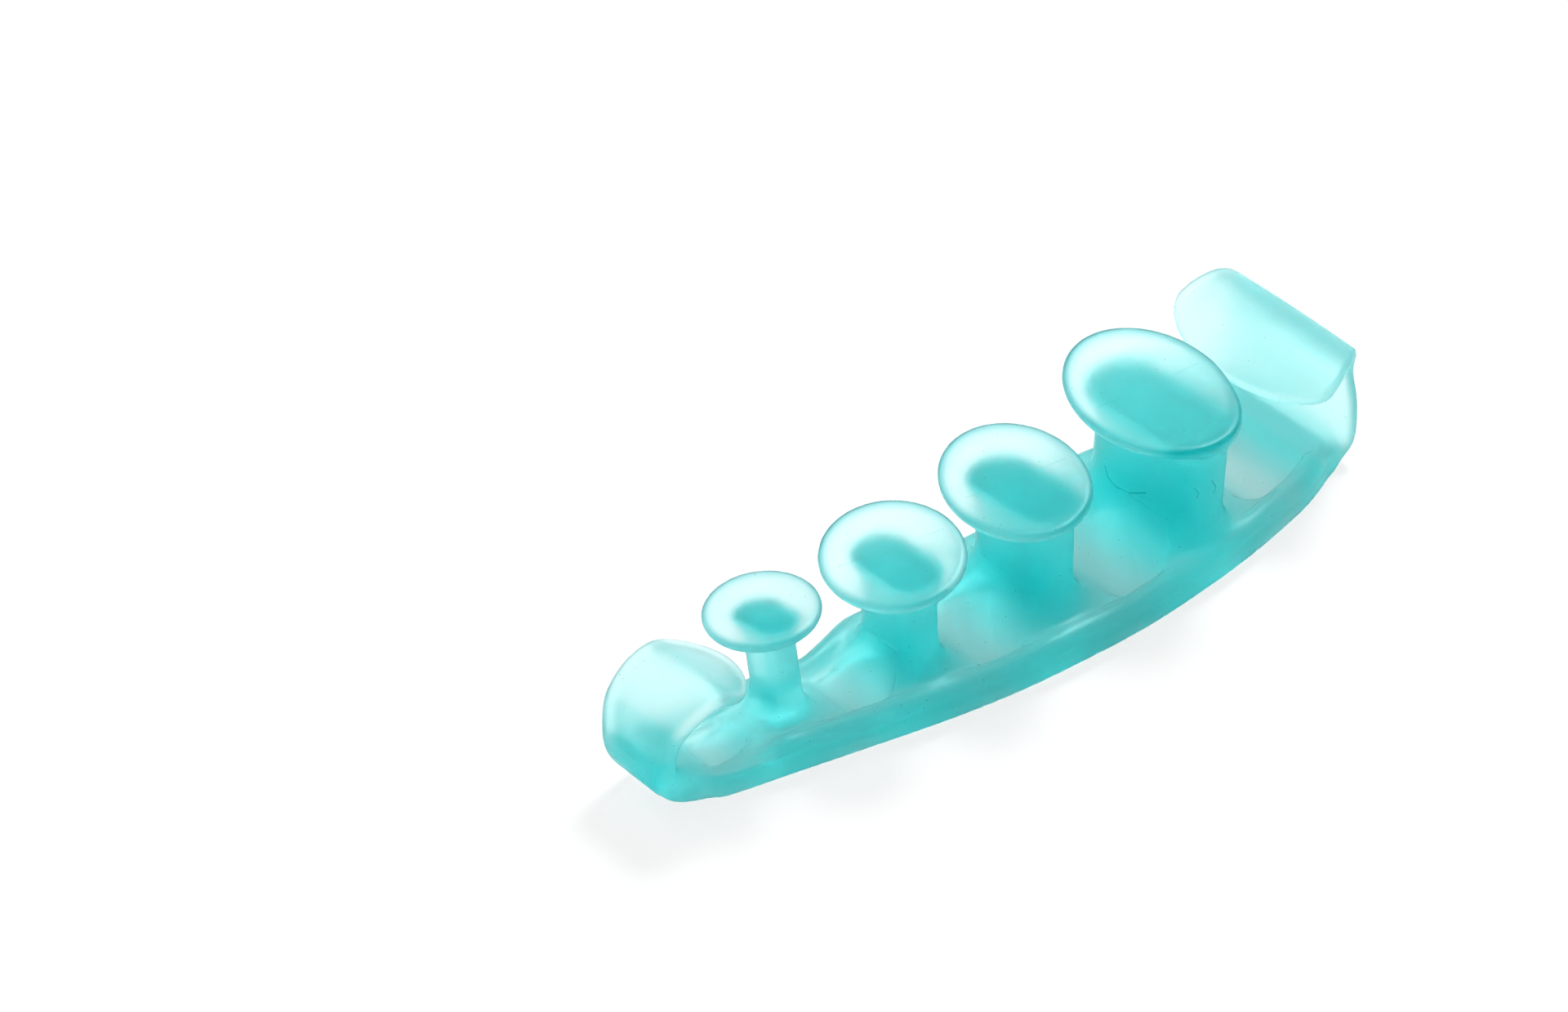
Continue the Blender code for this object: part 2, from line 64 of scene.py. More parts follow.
# %% [markdown]
# ## Sizes
#
# The moulding is described by a few lists of sizes in millimetres: two long edges in plan, the
# posts, the seats between them, and the line that each tongue follows.  They are the sizes of
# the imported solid.  Writing them here once more lets us put as many points as we like on the
# true surface, where a subdivision modifier would only round off the solid's small facets and
# shrink its thin rims.

# %% Sizes of the bar
MM = 0.001
ORIGIN = np.array([-1.72, -4.375, 0.0])

BAR_TOP = 3.9
BAR_FOOT_RADIUS = 0.55
LIP_RADIUS = 1.55
LIP_TOP = 5.3
LIP_BLEND = 0.9
LIP_ENDS = (-41.0, 46.0)
LIP_TAPER = [0.3, 0.45]

SMOOTH_EDGE = [
    (-50.5, -7.2), (-40.0, -10.2), (-30.0, -13.0), (-20.0, -15.7), (-10.0, -17.8), (0.0, -19.1),
    (10.0, -19.9), (20.0, -19.8), (30.0, -19.1), (40.0, -17.6), (45.0, -16.3), (49.0, -14.6),
]
BIG_END = [(51.3, -11.9), (52.0, -8.0), (52.0, -2.5), (51.6, 3.0), (50.4, 6.8)]
WAVY_EDGE = [
    (48.1, 9.8), (43.9, 11.4), (40.0, 10.2), (36.0, 8.1), (32.0, 6.8), (27.0, 6.5),
    (23.0, 7.0), (19.5, 6.1), (16.0, 4.3), (12.0, 3.2), (8.0, 3.7), (3.0, 4.8),
    (-2.0, 4.7), (-7.0, 3.3), (-12.0, 2.5), (-16.0, 3.2), (-20.5, 3.7), (-25.0, 2.8),
    (-30.0, 2.0), (-35.0, 3.1), (-40.0, 4.0), (-44.5, 3.8), (-49.5, 4.2),
]
SMALL_END = [(-53.8, 4.0), (-55.2, 2.4), (-55.4, 0.0), (-54.9, -2.6), (-52.9, -5.1)]

# %% Sizes of the posts and the seats
STEM_FOOT = [(-36.4, -2.6), (-19.4, -6.2), (1.0, -6.9), (24.0, -7.0)]
STEM_TOP = [(-38.1, -1.3), (-20.0, -5.6), (0.9, -6.7), (24.3, -7.8)]
STEM_HALF = [(2.4, 3.7), (3.1, 5.6), (3.5, 7.4), (4.4, 10.0)]
NECK_HEIGHT = 10.5
HEAD_CENTRE = [(-38.5, -1.1, 19.9), (-20.5, -5.3, 21.0), (0.0, -5.7, 21.6), (23.8, -5.5, 22.8)]
HEAD_SIZE = [(7.4, 7.6), (9.2, 9.8), (9.1, 11.9), (10.0, 13.3)]
HEAD_TILT = [(-3.4, -6.7), (-5.5, -0.5), (-3.9, -4.4), (-1.9, -0.6)]
HEAD_TURN = [-4.0, -19.0, -16.5, -10.4]
RIM_RADIUS = 0.8
HEAD_FLARE = [2.6, 2.8, 3.2, 4.2]
HEAD_DISH = 0.35
FOOT_FLARE = [3.8, 6.0, 6.5, 6.5]

SEAT_X = [-47.4, -27.6, -9.0, 13.0, 40.0]
SEAT_RADIUS = [6.4, 5.9, 6.9, 7.4, 9.0]
SEAT_FLOOR = [2.1, 2.3, 2.3, 2.2, 1.2]
SEAT_BORDER = [2.9, 2.9, 2.9, 2.8, 2.3]
SEAT_END_BLEND = 1.2
SEAT_EDGE_BLEND = 0.55

# %% Sizes of the tongues
BIG_LINE = [(50.3, 0.6), (53.1, 3.5), (54.9, 7.9), (55.5, 11.8), (54.8, 15.8), (51.7, 18.5),
            (47.2, 19.4), (42.6, 18.5), (38.3, 16.6)]
BIG_THICK = [3.2, 2.4, 1.9, 1.7, 1.7, 1.8, 1.8, 1.7, 1.5]
BIG_FRONT = [-13.8, -14.4, -13.0, -11.4, -12.4, -14.9, -17.0, -18.0, -17.4]
BIG_BACK = [8.0, 8.8, 9.4, 9.8, 10.0, 10.1, 10.1, 10.0, 9.8]
BIG_TIP = 7.4
BIG_CROWN = 1.4
SMALL_LINE = [(-53.0, 1.6), (-55.6, 3.8), (-57.7, 6.5), (-57.9, 9.8), (-56.9, 13.2),
              (-54.0, 15.7), (-50.3, 16.5), (-46.8, 15.2), (-42.8, 13.2)]
SMALL_THICK = [4.8, 4.6, 4.0, 3.2, 2.6, 2.2, 1.9, 1.7, 1.5]
SMALL_FRONT = [-4.8, -5.4, -6.0, -6.3, -6.8, -7.3, -7.5, -7.3, -6.8]
SMALL_BACK = [4.2, 4.9, 5.3, 5.8, 6.3, 6.7, 6.9, 6.9, 6.7]
SMALL_TIP = 6.0
SMALL_CROWN = 1.0
TONGUE_BLEND = 2.6

# %% [markdown]
# ## Forms from distances
#
# A mould maker would cut this shape with a ball cutter, which leaves every corner round.  We
# get the same roundness by describing each form by its distance: a function that gives, for
# any point, how far it is from the surface, negative inside the gel.  Two forms are joined by
# the smaller of their distances, and a soft version of min() leaves a fillet of a chosen width.

# %% Curves and soft joins
def spline(points, count):
    """Points at even steps of the index on a smooth curve through the given points."""
    pts = np.array(points, float)
    ends = np.vstack([2 * pts[0] - pts[1], pts, 2 * pts[-1] - pts[-2]])
    at = np.linspace(0, len(pts) - 1, count)
    i = np.minimum(at.astype(int), len(pts) - 2)
    t = (at - i)[:, None]
    a, b, c, d = ends[i], ends[i + 1], ends[i + 2], ends[i + 3]
    return 0.5 * (
        2 * b + (c - a) * t + (2 * a - 5 * b + 4 * c - d) * t**2 + (3 * b - a - 3 * c + d) * t**3
    )


def smooth_min(a, b, k):
    h = np.clip(0.5 + 0.5 * (b - a) / k, 0, 1)
    return b * (1 - h) + a * h - k * h * (1 - h)


def smooth_max(a, b, k):
    return -smooth_min(-a, -b, k)


def rounded(a, b, r):
    """Distance from the corner where two faces meet in an edge of radius r."""
    p, q = a + r, b + r
    return np.minimum(np.maximum(p, q), 0) + np.hypot(np.maximum(p, 0), np.maximum(q, 0)) - r


def oval(x, y, a, b):
    """Distance to an ellipse with half axes a and b, nearly true close to it."""
    k0 = np.hypot(x / a, y / b)
    k1 = np.hypot(x / a**2, y / b**2)
    return k0 * (k0 - 1) / np.maximum(k1, 1e-6)


# %% [markdown]
# ## The bar and its lip
#
# The bar's plan is a closed curve through the two long edges and the two ends.  Finding the
# distance to that curve is slow, so it is worked out once on a grid in plan and read off it
# between the grid points.  A round lip follows the curve all the way round; on the real part
# it is what catches the long soft highlight.

# %% The plan of the bar
plan = np.array(SMOOTH_EDGE + BIG_END + WAVY_EDGE + SMALL_END)
outline = spline(np.vstack([plan[-2:], plan, plan[:3]]), (len(plan) + 4) * 5 + 1)[10:-15]
GRID_STEP = 0.5
GRID_X = np.arange(-70, 70.1, GRID_STEP)
GRID_Y = np.arange(-34, 30.1, GRID_STEP)


def outline_distance(x, y):
    a = outline
    b = np.roll(a, -1, 0)
    d = b - a
    px, py = x[:, None] - a[:, 0], y[:, None] - a[:, 1]
    t = np.clip((px * d[:, 0] + py * d[:, 1]) / (d**2).sum(1), 0, 1)
    dist = np.hypot(px - t * d[:, 0], py - t * d[:, 1]).min(1)
    below = a[:, 1] <= y[:, None]
    crosses = below != (b[:, 1] <= y[:, None])
    side = d[:, 0] * py - d[:, 1] * px
    inside = (crosses & (np.where(below, side, -side) > 0)).sum(1) % 2 == 1
    return np.where(inside, -dist, dist)


grid_x, grid_y = np.meshgrid(GRID_X, GRID_Y, indexing="ij")
FIELD = outline_distance(grid_x.ravel(), grid_y.ravel()).reshape(grid_x.shape)
print("plan curve:", len(outline), "points, grid", FIELD.shape)


# %% The bar
def plan_distance(x, y):
    """Distance to the outline of the bar, negative inside."""
    u = np.clip((x - GRID_X[0]) / GRID_STEP, 0, len(GRID_X) - 1.001)
    v = np.clip((y - GRID_Y[0]) / GRID_STEP, 0, len(GRID_Y) - 1.001)
    i, j = u.astype(int), v.astype(int)
    u, v = u - i, v - j
    low = FIELD[i, j] * (1 - u) + FIELD[i + 1, j] * u
    high = FIELD[i, j + 1] * (1 - u) + FIELD[i + 1, j + 1] * u
    return low * (1 - v) + high * v


def edge_y(x, points):
    """Y of one long edge of the bar at x."""
    curve = spline(sorted(points), 200)
    return np.interp(x, curve[:, 0], curve[:, 1])


def bar(p, top):
    """The bar under a given upper surface, and the round lip that runs along its outline."""
    d = plan_distance(p[:, 0], p[:, 1])
    slab = rounded(d, np.maximum(top, -p[:, 2]), BAR_FOOT_RADIUS)
    lip = np.hypot(d + LIP_RADIUS, p[:, 2] - (LIP_TOP - LIP_RADIUS)) - LIP_RADIUS
    lip += LIP_TAPER[0] * np.maximum(LIP_ENDS[0] - p[:, 0], 0)
    lip += LIP_TAPER[1] * np.maximum(p[:, 0] - LIP_ENDS[1], 0)
    return slab, lip


# %% [markdown]
# ## Posts and seats
#
# A post is a leaning stem with a flat-sided oval section, which flares into the bar below and
# into a thin oval plate above.  The plate is tilted and turned a little on each post, as toes
# are not parallel.  Between the posts a round-bottomed seat is cut into the bar for the toe.

# %% Posts
def head_frame(i):
    """Axes of a head: across, along and up, each tilted with it."""
    ax, ay = np.radians(HEAD_TILT[i])
    up = np.array([np.sin(ax), -np.sin(ay), np.cos(ax) * np.cos(ay)])
    up /= np.linalg.norm(up)
    turn = np.radians(HEAD_TURN[i])
    across = np.array([np.cos(turn), np.sin(turn), 0.0])
    across -= up * (across @ up)
    across /= np.linalg.norm(across)
    return across, np.cross(up, across), up


def stem(p, i):
    foot, top = np.array(STEM_FOOT[i]), np.array(STEM_TOP[i])
    lean = (top - foot) / HEAD_CENTRE[i][2]
    a, b = STEM_HALF[i]
    dx = p[:, 0] - foot[0] - lean[0] * p[:, 2]
    dy = p[:, 1] - foot[1] - lean[1] * p[:, 2]
    return np.hypot(dx, np.maximum(np.abs(dy) - (b - a), 0)) - a


def head(p, i):
    across, along, up = head_frame(i)
    q = p - np.array(HEAD_CENTRE[i])
    u, v, w = q @ across, q @ along, q @ up
    a, b = HEAD_SIZE[i]
    plate = rounded(oval(u, v, a, b), np.abs(w) - RIM_RADIUS, RIM_RADIUS)
    top = w - RIM_RADIUS + HEAD_DISH * np.maximum(1 - (u / a) ** 2 - (v / b) ** 2, 0)
    return plate, top


# %% Seats
def seat(p, i):
    """A round-bottomed channel across the bar, closed near both lips by a round end."""
    x, r, floor_z = SEAT_X[i], SEAT_RADIUS[i], SEAT_FLOOR[i]
    depth = np.minimum(p[:, 2] - floor_z - r, 0)
    channel = np.hypot(p[:, 0] - x, depth) - r
    front = edge_y(x, SMOOTH_EDGE) + SEAT_BORDER[i]
    back = edge_y(x, WAVY_EDGE) - SEAT_BORDER[i]
    half = (back - front) / 2
    long = min(r, half)
    dy = np.maximum(np.abs(p[:, 1] - (front + back) / 2) - (half - long), 0)
    return smooth_max(channel, oval(p[:, 0] - x, dy, r, long), SEAT_END_BLEND)


# %% [markdown]
# ## The tongues
#
# Each tongue is a strip that rises from the end of the bar, bulges outwards and curls back
# over the outer toe.  It follows a curve in the XZ plane; every point of the curve carries its
# own thickness and side lines, so the strip thins towards its rounded tip as the real one does.

# %% Tongues
class Tongue:
    """A strip of gel that follows a line in the XZ plane and ends in half an ellipse."""

    def __init__(self, line, thick, front, back, tip, crown):
        curve = spline(np.column_stack([line, thick, front, back]), 72)
        self.line = curve[:, :2]
        self.length = np.append(0, np.cumsum(np.hypot(*np.diff(self.line, axis=0).T)))
        self.thick, self.front, self.back = curve[:, 2], curve[:, 3], curve[:, 4]
        self.tip, self.crown, self.side = tip, crown, np.sign(line[0][0])

    def distance(self, p):
        a, b = self.line[:-1], self.line[1:]
        d = b - a
        px, pz = p[:, 0, None] - a[:, 0], p[:, 2, None] - a[:, 1]
        t = np.clip((px * d[:, 0] + pz * d[:, 1]) / (d**2).sum(1), 0, 1)
        near = (px - t * d[:, 0]) ** 2 + (pz - t * d[:, 1]) ** 2
        k = near.argmin(1)
        rows = np.arange(len(p))
        unit = d / np.hypot(*d.T)[:, None]
        px, pz = p[:, 0] - a[k, 0], p[:, 2] - a[k, 1]
        along = px * unit[k, 0] + pz * unit[k, 1]
        off = (px * unit[k, 1] - pz * unit[k, 0]) * self.side
        inside = t[rows, k] * np.hypot(*d[k].T)
        past = np.where(k == len(a) - 1, np.maximum(along - inside, 0), 0)
        off = np.where(past > 0, off, np.sign(off) * np.sqrt(near[rows, k]))
        s = self.length[k] + inside + past
        thick, front, back = (
            np.interp(s, self.length, track) for track in (self.thick, self.front, self.back)
        )
        half, y = (back - front) / 2, p[:, 1] - (front + back) / 2
        u = np.maximum(s - self.length[-1] + self.tip, 0)
        bend = self.crown * np.clip(s / self.length[-1] * 2 - 0.9, 0, 1)
        off = off + bend * np.minimum((y / half) ** 2, 1.5)
        return rounded(oval(u, y, self.tip, half), np.abs(off) - thick / 2, 0.46 * thick)


big = Tongue(BIG_LINE, BIG_THICK, BIG_FRONT, BIG_BACK, BIG_TIP, BIG_CROWN)
small = Tongue(SMALL_LINE, SMALL_THICK, SMALL_FRONT, SMALL_BACK, SMALL_TIP, SMALL_CROWN)
print("tongues are", round(big.length[-1], 1), "and", round(small.length[-1], 1), "mm long")


# %% The whole moulding
def separator(p):
    """Signed distance to the surface of the whole moulding, negative in the gel."""
    necks = [smooth_max(stem(p, i), p[:, 2] - HEAD_CENTRE[i][2], 0.5) for i in range(4)]
    top = p[:, 2] - BAR_TOP
    for neck, flare in zip(necks, FOOT_FLARE):
        top = smooth_min(top, neck, flare)
    low, lip = bar(p, top)
    for i in range(5):
        low = smooth_max(low, -seat(p, i), SEAT_EDGE_BLEND)
    low = smooth_min(low, lip, LIP_BLEND)
    for tongue in (big, small):
        low = smooth_min(low, tongue.distance(p), TONGUE_BLEND)
    low = smooth_max(low, -p[:, 2], 0.3)
    for i, neck in enumerate(necks):
        plate, top = head(p, i)
        upper = smooth_max(neck, NECK_HEIGHT - 2 - p[:, 2], 0.5)
        whole = smooth_max(smooth_min(upper, plate, HEAD_FLARE[i]), top, 0.5)
        low = np.minimum(low, whole)
    return low


PART_POINTS = 30000
PROBE = 0.02
LEAST_SLOPE = 0.25
LONGEST_STEP = 0.15


def in_parts(p):
    """Distances of many points, worked out in parts to spare memory."""
    parts = np.array_split(p, len(p) // PART_POINTS + 1)
    return np.concatenate([separator(part) for part in parts])


def settle(p, rounds):
    """Moves points along the slope of the distance until they lie on the surface."""
    for _ in range(rounds):
        value = in_parts(p)
        slope = np.column_stack([(in_parts(p + PROBE * e) - value) / PROBE for e in np.eye(3)])
        step = value / np.maximum((slope**2).sum(1), LEAST_SLOPE)
        p = p - slope * np.clip(step, -LONGEST_STEP, LONGEST_STEP)[:, None]
    return p


# %% [markdown]
# ## A fine skin
#
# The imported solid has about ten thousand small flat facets.  Clear gel shows them, because each
# facet bends the light its own way.  So the skin is made anew at the same place and size.  A
# fine grid is filled with distances, each cell that the surface crosses gets one point, and the
# points of neighbouring cells are joined by squares.  The points are then settled on the true
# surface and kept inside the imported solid's box.  Where the solid's facets cut across a thin rim
# or a corner of a seat, by about a millimetre at the most, the skin keeps to the described form.

# %% Distances on a fine grid
NET_CELL = 0.42  # mm
BLOCK = 4  # cells to a side of a block that is tried first by its middle
FAR = 2.8  # mm from the surface, past which a block needs no closer look


def grid_distances(low, high):
    """Distances at the grid's points; blocks far from the surface take their middle's value."""
    axes = [np.arange(a - 3 * NET_CELL, b + 4 * NET_CELL, NET_CELL) for a, b in zip(low, high)]
    middle = [
        np.minimum((np.arange(len(a)) + BLOCK // 2) // BLOCK * BLOCK, len(a) - 1) for a in axes
    ]
    few = [np.unique(m) for m in middle]
    coarse = np.stack(np.meshgrid(*[a[f] for a, f in zip(axes, few)], indexing="ij"), -1)
    coarse = in_parts(coarse.reshape(-1, 3)).reshape(coarse.shape[:3])
    values = coarse[np.ix_(*[np.searchsorted(f, m) for f, m in zip(few, middle)])]
    near = np.argwhere(np.abs(values) < FAR)
    places = np.column_stack([axis[n] for axis, n in zip(axes, near.T)])
    values[tuple(near.T)] = in_parts(places)
    return values, np.array([a[0] for a in axes])


low, high = (np.array(c) / MM + ORIGIN for c in solid_box)
values, corner = grid_distances(low, high)
print("grid:", values.shape, "of", NET_CELL, "mm")


# %% One point in each crossed cell, joined by squares
def net_points(values):
    """Middle of the crossings on the twelve edges of each cell, in cells from the corner."""
    shape = np.array(values.shape) - 1
    total, count = np.zeros((*shape, 3)), np.zeros(shape)
    for axis in range(3):
        for side in ((0, 0), (0, 1), (1, 0), (1, 1)):
            start = np.roll([0, *side], axis)
            v0, v1 = (
                values[tuple(slice(s, s + n) for s, n in zip(start + add_on, shape))]
                for add_on in (np.zeros(3, int), np.eye(3, dtype=int)[axis])
            )
            crossed = (v0 < 0) != (v1 < 0)
            share = np.where(crossed, v0 / np.where(crossed, v0 - v1, 1), 0)
            total += crossed[..., None] * start
            total[..., axis] += share
            count += crossed
    used = count > 0
    index = np.cumsum(used).reshape(shape) - 1
    return np.argwhere(used) + total[used] / count[used][:, None], index


def net_squares(values, index):
    """A square round each grid edge that the surface crosses, facing out of the gel."""
    squares = []
    for axis in range(3):
        whole = slice(None)
        v0 = values[tuple(slice(-1) if n == axis else whole for n in range(3))]
        v1 = values[tuple(slice(1, None) if n == axis else whole for n in range(3))]
        at = np.argwhere((v0 < 0) != (v1 < 0))
        e1, e2 = np.roll([0, 1, 0], axis), np.roll([0, 0, 1], axis)
        ring = np.column_stack([index[tuple((at - e).T)] for e in (e1 + e2, e2, 0 * e1, e1)])
        outward = v0[tuple(at.T)] < 0
        squares.append(np.where(outward[:, None], ring, ring[:, ::-1]))
    return np.vstack(squares)


cells, index = net_points(values)
squares = net_squares(values, index)
SETTLE_ROUNDS = 4
points = settle(corner + cells * NET_CELL, SETTLE_ROUNDS)
points = np.clip(points, low, high)
print("skin:", len(points), "points,", len(squares), "squares")

# %% The skin takes the solid's place
mesh = bpy.data.meshes.new("gel_separator")
mesh.from_pydata(((points - ORIGIN) * MM).tolist(), [], squares.tolist())
mesh.shade_smooth()
mesh.update()
body = bpy.data.objects.new("gel_separator", mesh)
bpy.context.scene.collection.objects.link(body)
print("largest error", np.abs(in_parts(points)).max().round(3), "mm")

# %% [markdown]
# ## Colour and nodes
#
# Colours are written as the hex values a painter would pick from a screen.  Blender mixes light
# in linear values, so one function turns them.  One more adds a node with its settings.

# %% Helpers for materials
def linear(hex_colour):
    """sRGB hex, such as "#40c0c0", to linear RGBA."""
    parts = [int(hex_colour[i:i + 2], 16) / 255 for i in (1, 3, 5)]
    return [c / 12.92 if c <= 0.04045 else ((c + 0.055) / 1.055) ** 2.4 for c in parts] + [1.0]


def add(tree, kind, links=None, **settings):
    """Adds a node; settings are sockets (by name or number after _) or properties."""
    node = tree.nodes.new(kind)
    for key, value in settings.items():
        if hasattr(node, key):
            setattr(node, key, value)
    for key, value in settings.items():
        if not hasattr(node, key):
            socket = node.inputs[int(key[1:]) if key[1:].isdigit() else key.replace("_", " ")]
            socket.default_value = value
    for key, source in (links or {}).items():
        tree.links.new(source, node.inputs[key])
    return node


def per_metre(size_mm):
    """Texture scale at which one cell of a pattern is size_mm wide."""
    return 1 / (size_mm * MM)


# %% [markdown]
# ## The gel
#
# Such a part is usually a thermoplastic elastomer, a soft rubber-like gel, dyed and moulded in a
# satin mould.  Its turquoise is no colour on a surface: the dye takes the red out of light on its
# way through, so a thin head is nearly white and a deep foot is full turquoise.  We could paint
# that, but it would be wrong from every other side.  Instead the skin is rough clear glass, and
# the inside is a volume with two parts: one absorbs red light, as the dye does, and one scatters
# green and blue light, as the fine oil droplets of a dyed gel do.  The scattering keeps deep
# places bright turquoise instead of dark.  Light takes several steps to find its way out of such
# a volume, so it gets a few volume bounces, which Blender leaves at none.

# %% The gel's inside
gel = bpy.data.materials.new("turquoise_tpe_gel_moulded_satin")
gel.use_nodes = True
tree = gel.node_tree
tree.nodes.clear()
DYE_PER_METRE = 190.0  # how fast red fades: this makes thin rims pale and the posts deep
HAZE_PER_METRE = 110.0  # a light step about every 9 mm: milky, but still see-through
DYE_COLOUR = (0.0, 0.992, 0.992, 1)
HAZE_COLOUR = (0.1, 1, 1, 1)
dye = add(tree, "ShaderNodeVolumeAbsorption", Color=DYE_COLOUR, Density=DYE_PER_METRE)
haze = add(
    tree, "ShaderNodeVolumeScatter", Color=HAZE_COLOUR, Density=HAZE_PER_METRE, Anisotropy=0.5
)
inside = add(tree, "ShaderNodeAddShader", {0: dye.outputs[0], 1: haze.outputs[0]})
cycles = bpy.context.scene.cycles
cycles.volume_bounces = 4
cycles.max_bounces = 12
cycles.transmission_bounces = 12
cycles.glossy_bounces = 3
half_red = np.log(2) / DYE_PER_METRE / MM
print("gel takes half of the red out of light in", round(half_red, 1), "mm")

# %% [markdown]
# ## The gel's skin
#
# A blasted mould would leave the satin skin that the photo shows: it blurs what lies behind it
# and spreads each highlight.  On that come the traces of moulding and handling that the eye
# takes for real: a faint line over each broad head, an arc that may be an insert's mark and
# some lint on the biggest post, dust, and a soft orange peel.  Round each head a deeper
# turquoise is painted into the colour of the rim: painted shade, for the longer way that light
# runs along the gel there.

# %% Marks as distances to short lines
where = add(tree, "ShaderNodeTexCoord").outputs["Object"]


def maximum(tree, a, b):
    """The stronger of two marks; None stands for no mark yet."""
    if a is None:
        return b
    return add(tree, "ShaderNodeMath", {0: a, 1: b}, operation="MAXIMUM").outputs[0]


def line_mark(tree, a, b, width):
    """1 on the line from a to b (mm, in the sizes' frame), 0 at width from it."""
    a, b = ((np.array(p) - ORIGIN) * MM for p in (a, b))
    run = b - a
    local = add(tree, "ShaderNodeVectorMath", {0: where}, operation="SUBTRACT", _1=a)
    along = add(
        tree, "ShaderNodeVectorMath", {0: local.outputs[0]}, operation="DOT_PRODUCT",
        _1=run / (run @ run),
    )
    held = add(tree, "ShaderNodeClamp", {0: along.outputs["Value"]})
    foot = add(tree, "ShaderNodeVectorMath", {"Scale": held.outputs[0]}, operation="SCALE", _0=run)
    off = add(
        tree, "ShaderNodeVectorMath", {0: local.outputs[0], 1: foot.outputs[0]},
        operation="DISTANCE",
    )
    return add(
        tree, "ShaderNodeMapRange", {"Value": off.outputs["Value"]},
        interpolation_type="SMOOTHSTEP", From_Max=width * MM, To_Min=1.0, To_Max=0.0,
    ).outputs["Result"]


# %% Parting lines, insert mark and lint
TOP_ABOVE_CENTRE = 0.6
PARTING_WIDTH = 0.16
THREAD_WIDTH = 0.2


def on_head(i, across_share, along_share):
    """A point on the top of a head, at shares of its half sizes."""
    across, along, up = head_frame(i)
    a, b = HEAD_SIZE[i]
    sideways = across * a * across_share + along * b * along_share
    return np.array(HEAD_CENTRE[i]) + sideways + up * TOP_ABOVE_CENTRE


parting = None
for i, place in ((1, 0.1), (2, 0.0), (3, 0.05)):
    ends_of_line = on_head(i, -0.75, place), on_head(i, 0.8, place)
    parting = maximum(tree, parting, line_mark(tree, *ends_of_line, PARTING_WIDTH))

INSERT_MARK = [
    (19.75, -2.14, 10.7), (19.68, -2.9, 9.2), (19.86, -4.4, 8.4), (19.73, -6.9, 9.1),
    (19.75, -9.6, 10.9),
]
LINT = [
    [(21.45, -16.5, 15.1), (21.92, -16.8, 14.3), (21.77, -16.7, 13.5)],
    [(23.5, -17.5, 15.9), (24.3, -17.5, 14.3), (24.0, -17.5, 13.4)],
]
threads = None
for thread in [INSERT_MARK] + LINT:
    for a, b in zip(thread, thread[1:]):
        threads = maximum(tree, threads, line_mark(tree, a, b, THREAD_WIDTH))
print("marks:", len(LINT), "threads of lint, one insert mark, three parting lines")

# %% Painted rim shade and dust
RIM_FROM, RIM_WIDTH, RIM_REACH = 0.84, 0.14, 1.15  # shares of the head's half sizes
RIM_HALF_HEIGHT = 1.8  # mm


def painted_rim_shade_share(p):
    """Share of painted shade: 1 at the rim of a head, 0 inside it and on all other forms."""
    share = np.zeros(len(p))
    for i in range(4):
        across, along, up = head_frame(i)
        q = p - np.array(HEAD_CENTRE[i])
        radius = np.hypot(q @ across / HEAD_SIZE[i][0], q @ along / HEAD_SIZE[i][1])
        rise = np.clip((radius - RIM_FROM) / RIM_WIDTH, 0, 1)
        on_rim = (np.abs(q @ up) < RIM_HALF_HEIGHT) & (radius < RIM_REACH)
        share = np.where(on_rim, rise * rise * (3 - 2 * rise), share)
    return share


# The "rim" attribute carries painted shade: how much deeper turquoise each point near a head's rim
# gets.
mesh.attributes.new("rim", "FLOAT", "POINT").data.foreach_set("value", painted_rim_shade_share(points))
painted_rim_shade = add(tree, "ShaderNodeAttribute", attribute_name="rim").outputs["Fac"]


def dust(tree, cell, radius, kept):
    """Small dots: radius in mm, kept is the share of cells that hold one."""
    cells = add(tree, "ShaderNodeTexVoronoi", {"Vector": where}, Scale=per_metre(cell))
    pick = add(tree, "ShaderNodeSeparateColor", {0: cells.outputs["Color"]})
    chosen = add(tree, "ShaderNodeMath", {0: pick.outputs[0]}, operation="LESS_THAN", _1=kept)
    dot = add(
        tree, "ShaderNodeMapRange", {"Value": cells.outputs["Distance"]},
        From_Min=0.5 * radius / cell, From_Max=radius / cell, To_Min=1.0, To_Max=0.0,
    )
    return add(
        tree, "ShaderNodeMath", {0: dot.outputs[0], 1: chosen.outputs[0]}, operation="MULTIPLY"
    ).outputs[0]


DUST_CELL, DUST_RADIUS, DUST_KEPT = 1.4, 0.11, 0.8
specks = dust(tree, DUST_CELL, DUST_RADIUS, DUST_KEPT)

# %% Colour, satin and relief of the skin
def tinted(colour, target, factor, amount):
    """Mixes a colour towards a target where a mark is, by at most the given amount."""
    scaled = add(tree, "ShaderNodeMath", {0: factor}, operation="MULTIPLY", _1=amount)
    mixed = add(tree, "ShaderNodeMix", {0: scaled.outputs[0]}, data_type="RGBA")
    if isinstance(colour, list):
        mixed.inputs[6].default_value = colour
    else:
        tree.links.new(colour, mixed.inputs[6])
    mixed.inputs[7].default_value = linear(target)
    return mixed.outputs[2]


